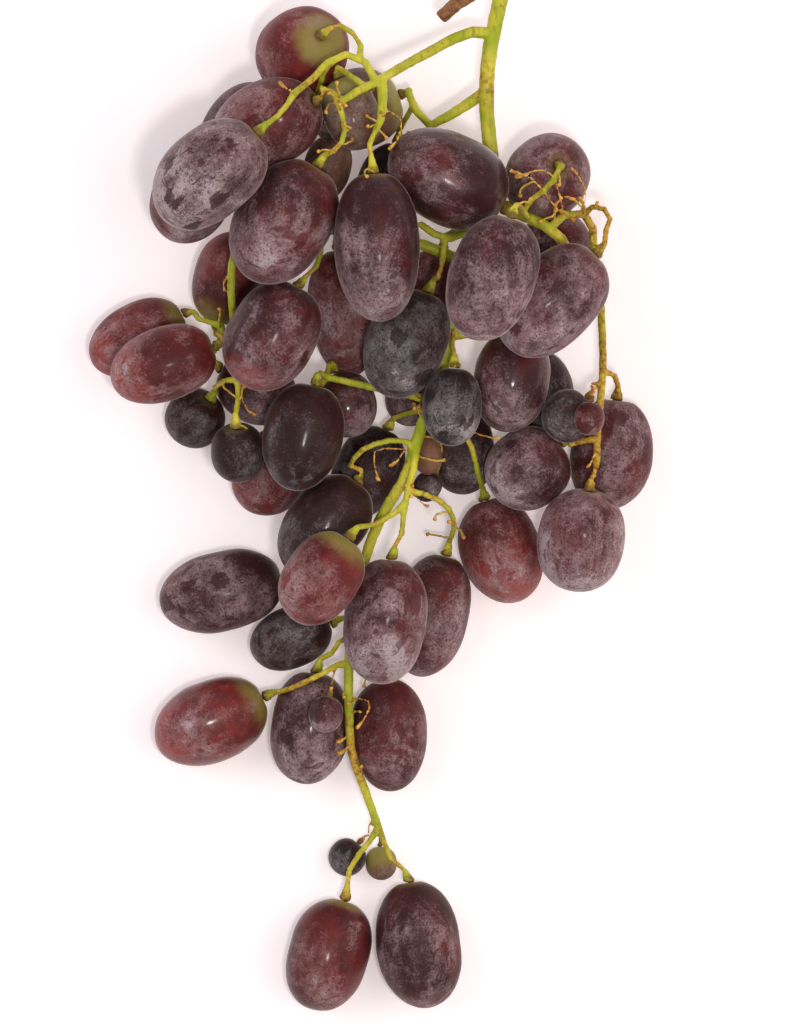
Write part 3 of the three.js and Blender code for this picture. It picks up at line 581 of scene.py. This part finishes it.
def withered_threads(stem):
    """Tufts of fine dry threads with a knob at the end, where flowers set no berry."""
    rng = np.random.default_rng(THREAD_SEED)
    co = vertex_rows(stem.data, "co") / MM
    normals = vertex_rows(stem.data, "normal")
    corners, faces, knobs = [], [], []
    turn = np.linspace(0, 2 * math.pi, THREAD_SIDES, endpoint=False)
    upper = np.flatnonzero(normals[:, 2] > 0.1)
    for middle, count in TUFTS:
        far = np.linalg.norm(co[upper, :2] - middle, axis=1)
        for root in rng.choice(upper[np.argsort(far)[:TUFT_CORNERS]], count):
            points = thread_path(co[root], normals[root], rng)
            last = len(points) - 1
            side = np.cross(normals[root], (0.31, 0.52, 0.79))
            for i, point in enumerate(points):
                along = points[min(i + 1, last)] - points[max(i - 1, 0)]
                along /= np.linalg.norm(along)
                side -= (side @ along) * along
                side /= np.linalg.norm(side)
                over = np.cross(along, side)
                radius = THREAD_RADIUS if i < last - 1 else KNOB_RADIUS
                ring = np.outer(np.cos(turn), side) + np.outer(np.sin(turn), over)
                first = len(corners)
                corners.extend(point + ring * radius)
                knobs.extend([float(i >= last - 1)] * THREAD_SIDES)
                for j in range(THREAD_SIDES if i else 0):
                    k = (j + 1) % THREAD_SIDES
                    below = first - THREAD_SIDES
                    faces.append((below + j, below + k, first + k, first + j))
            base = first - last * THREAD_SIDES
            faces.append(tuple(range(first, first + THREAD_SIDES)))
            faces.append(tuple(reversed(range(base, base + THREAD_SIDES))))
    corners = np.array(corners)
    made = bpy.data.meshes.new("withered_threads")
    made.from_pydata((corners * MM).tolist(), [], faces)
    made.shade_smooth()
    add_place(made, "stem_at", corners)
    for name in ("cap", "collar", "old", "dry"):
        add_attribute(made, name, np.zeros(len(corners)))
    add_attribute(made, "thread", 0.6 + 0.4 * np.array(knobs))
    return link("withered_threads", made)


def apply_modifiers(thing):
    """Bakes an object's modifiers into its mesh."""
    shapes = bpy.context.evaluated_depsgraph_get()
    mesh = bpy.data.meshes.new_from_object(thing.evaluated_get(shapes))
    thing.modifiers.clear()
    thing.data = mesh


def add_floor():
    """A wide pale table that glows a little with painted light."""
    bpy.ops.mesh.primitive_plane_add(size=TABLE_SIZE, location=(0, 0, -TABLE_DOWN))
    floor = bpy.context.object
    floor.name = "table"
    n = Nodes("pale_table")
    n.shader.inputs["Base Color"].default_value = linear(TABLE_COLOUR)
    n.shader.inputs["Roughness"].default_value = 0.6
    # painted light: the glow lifts and warms the shade on the table
    n.shader.inputs["Emission Color"].default_value = TABLE_GLOW
    n.shader.inputs["Emission Strength"].default_value = TABLE_GLOW_STRENGTH
    floor.data.materials.append(n.material)


def add_lamp(name, at, size, power, tint, mirrored):
    """A round soft lamp that faces the bunch."""
    data = bpy.data.lights.new(name, "AREA")
    data.shape = "DISK"
    data.size = size
    data.energy = power
    data.color = tint
    lamp = bpy.data.objects.new(name, data)
    lamp.location = at
    lamp.visible_glossy = mirrored
    lamp.rotation_euler = (Vector(at) - Vector(LAMPS_FACE)).to_track_quat("Z", "Y").to_euler()
    bpy.context.scene.collection.objects.link(lamp)


def add_camera():
    """Straight down from far off with a long lens, so that the top of the heap keeps its scale."""
    data = bpy.data.cameras.new("camera")
    data.sensor_width = SENSOR
    tall = PICTURE_HEIGHT * MM_A_PIXEL
    data.lens = SENSOR * (CAMERA_HEIGHT - MID_HEIGHT) / tall
    camera = bpy.data.objects.new("camera", data)
    camera.location = (PICTURE_MIDDLE[0] * MM, PICTURE_MIDDLE[1] * MM, CAMERA_HEIGHT * MM)
    bpy.context.scene.collection.objects.link(camera)
    bpy.context.scene.camera = camera
    data.clip_start = 0.05


def set_world():
    """Soft light from all round."""
    world = bpy.data.worlds.new("studio")
    world.use_nodes = True
    background = world.node_tree.nodes["Background"]
    background.inputs["Color"].default_value = SKY
    background.inputs["Strength"].default_value = SKY_STRENGTH
    bpy.context.scene.world = world
    bpy.context.scene.view_settings.view_transform = "Standard"


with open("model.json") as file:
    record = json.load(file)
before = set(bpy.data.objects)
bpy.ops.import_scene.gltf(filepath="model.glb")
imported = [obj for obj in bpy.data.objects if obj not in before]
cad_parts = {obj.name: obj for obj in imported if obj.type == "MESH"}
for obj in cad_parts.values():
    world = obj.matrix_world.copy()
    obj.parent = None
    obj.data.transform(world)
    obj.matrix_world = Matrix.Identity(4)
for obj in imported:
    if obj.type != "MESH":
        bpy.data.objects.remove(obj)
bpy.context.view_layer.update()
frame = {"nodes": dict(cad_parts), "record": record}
slots = {part["node"]: part["material_slot"] for part in frame["record"]["subparts"]}
skins = {slot: skin_material(slot, look) for slot, look in SKINS.items()}

berries = []
for seed, (name, node) in enumerate(sorted(frame["nodes"].items()), start=1):
    if name == "stem":
        continue
    centre, axis, length, width = measure_berry(node)
    berries.append((centre, axis, length, width))
    piece = link(name + "_fine", berry_mesh(name, centre, axis, length, width, seed))
    piece.data.materials.append(skins[slots[name]])
    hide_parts(name)
    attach(piece, "root")

stem = fine_stem(frame["nodes"]["stem"], berries)
stem.data.materials.clear()
stem.data.materials.append(stem_material())
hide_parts("stem")
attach(stem, "root")
threads = withered_threads(stem)
threads.data.materials.append(stem.data.materials[0])
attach(threads, "root")

add_floor()
add_camera()
set_world()
for name, lamp in LAMPS.items():
    add_lamp(name, *lamp)
